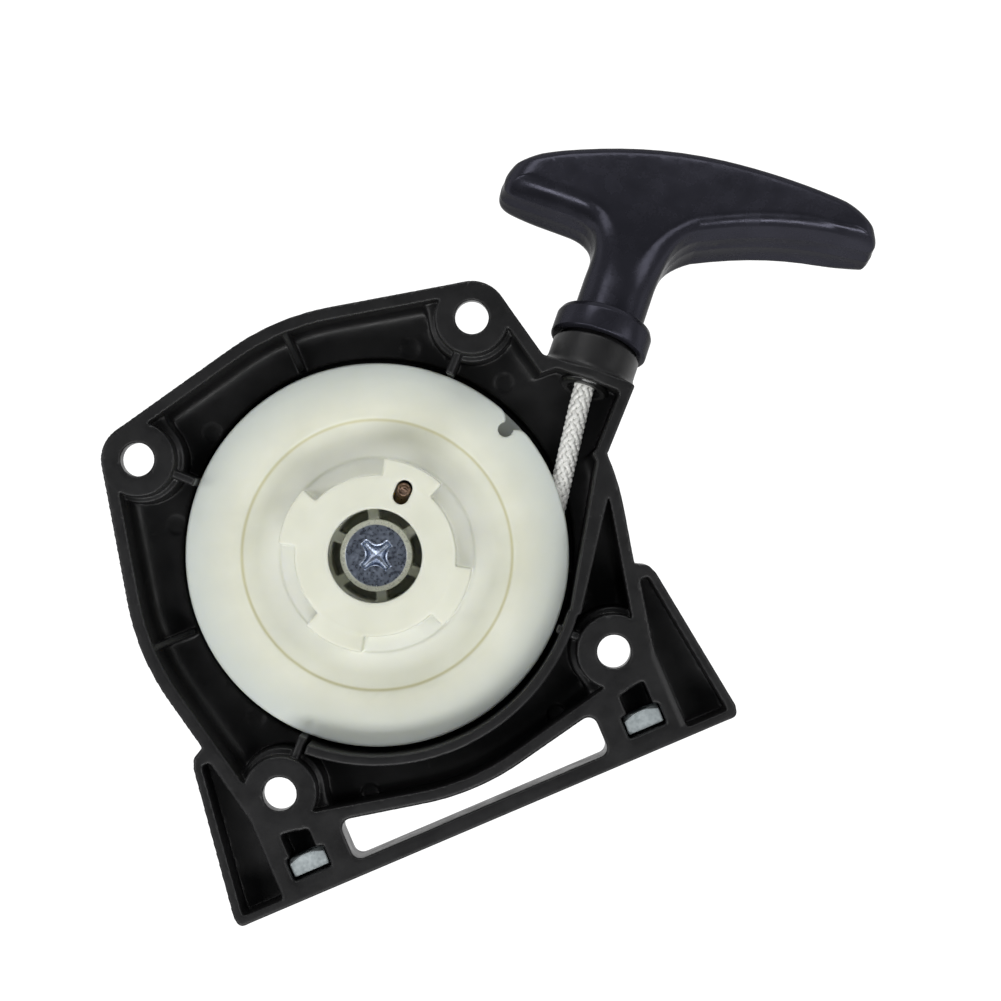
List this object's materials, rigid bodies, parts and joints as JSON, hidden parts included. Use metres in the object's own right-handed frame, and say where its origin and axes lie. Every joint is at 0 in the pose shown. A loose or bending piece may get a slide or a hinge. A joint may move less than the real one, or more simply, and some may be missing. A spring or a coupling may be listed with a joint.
{
  "type": "recoil starter",
  "caption": "Rope recoil starter for a small engine: moulded housing with a foot and square hole pattern, spring-loaded rope reel with drive dogs, and a T grip on the rope.",
  "frame": {"origin": "middle of the flat outer face, on the reel's axis", "axes": "+Z along the reel's axis towards the engine, X along the foot, -Y towards the foot's sole"},
  "size_m": [0.1689, 0.1161, 0.037],
  "materials": {
    "black_nylon": "satin",
    "grip_black": "satin",
    "eyelet_black": "gloss",
    "reel_nylon": "satin",
    "zinc_steel": "zinc plated",
    "brass": "satin",
    "case_steel": "satin",
    "spring_steel": "oiled",
    "rope_white": "braided"
  },
  "bodies": {
    "housing": {"housing": "black_nylon", "foot_nut_right": "zinc_steel", "foot_nut_left": "zinc_steel", "post_insert": "brass", "rope_eyelet": "eyelet_black", "reel_washer": "zinc_steel", "reel_screw": "zinc_steel", "spring_case": "case_steel", "rope_run": "rope_white"},
    "reel": {"reel": "reel_nylon", "rope_coil": "rope_white", "reel_knot": "rope_white", "spring_pin": "spring_steel", "recoil_spring": "spring_steel"},
    "rope_end": {"rope_tail": "rope_white", "grip_knot": "rope_white"},
    "grip": {"grip": "grip_black", "grip_collar": "grip_black", "grip_cap": "grip_black", "knot_washer": "zinc_steel"}
  },
  "joints": [
    {"name": "grip_pull", "type": "slide", "parent": "housing", "child": "rope_end", "axis": [0.6364, 0.7068, -0.309], "range_m": [0, 0.72]},
    {"name": "grip_twist", "type": "hinge", "parent": "rope_end", "child": "grip", "pos_m": [0.051, 0.0155, 0.025], "axis": [0.6364, 0.7068, -0.309], "continuous": true},
    {"name": "reel_spin", "type": "hinge", "parent": "housing", "child": "reel", "pos_m": [0, 0, 0.02], "axis": [0, 0, 1], "range_deg": [0, 1700], "stiffness_Nm_per_rad": 0.02, "springref_deg": -899.54, "deforming": ["recoil_spring"]}
  ],
  "couplings": [
    {"joint": "reel_spin", "follows": "grip_pull", "rad_per_m": 38.8}
  ]
}
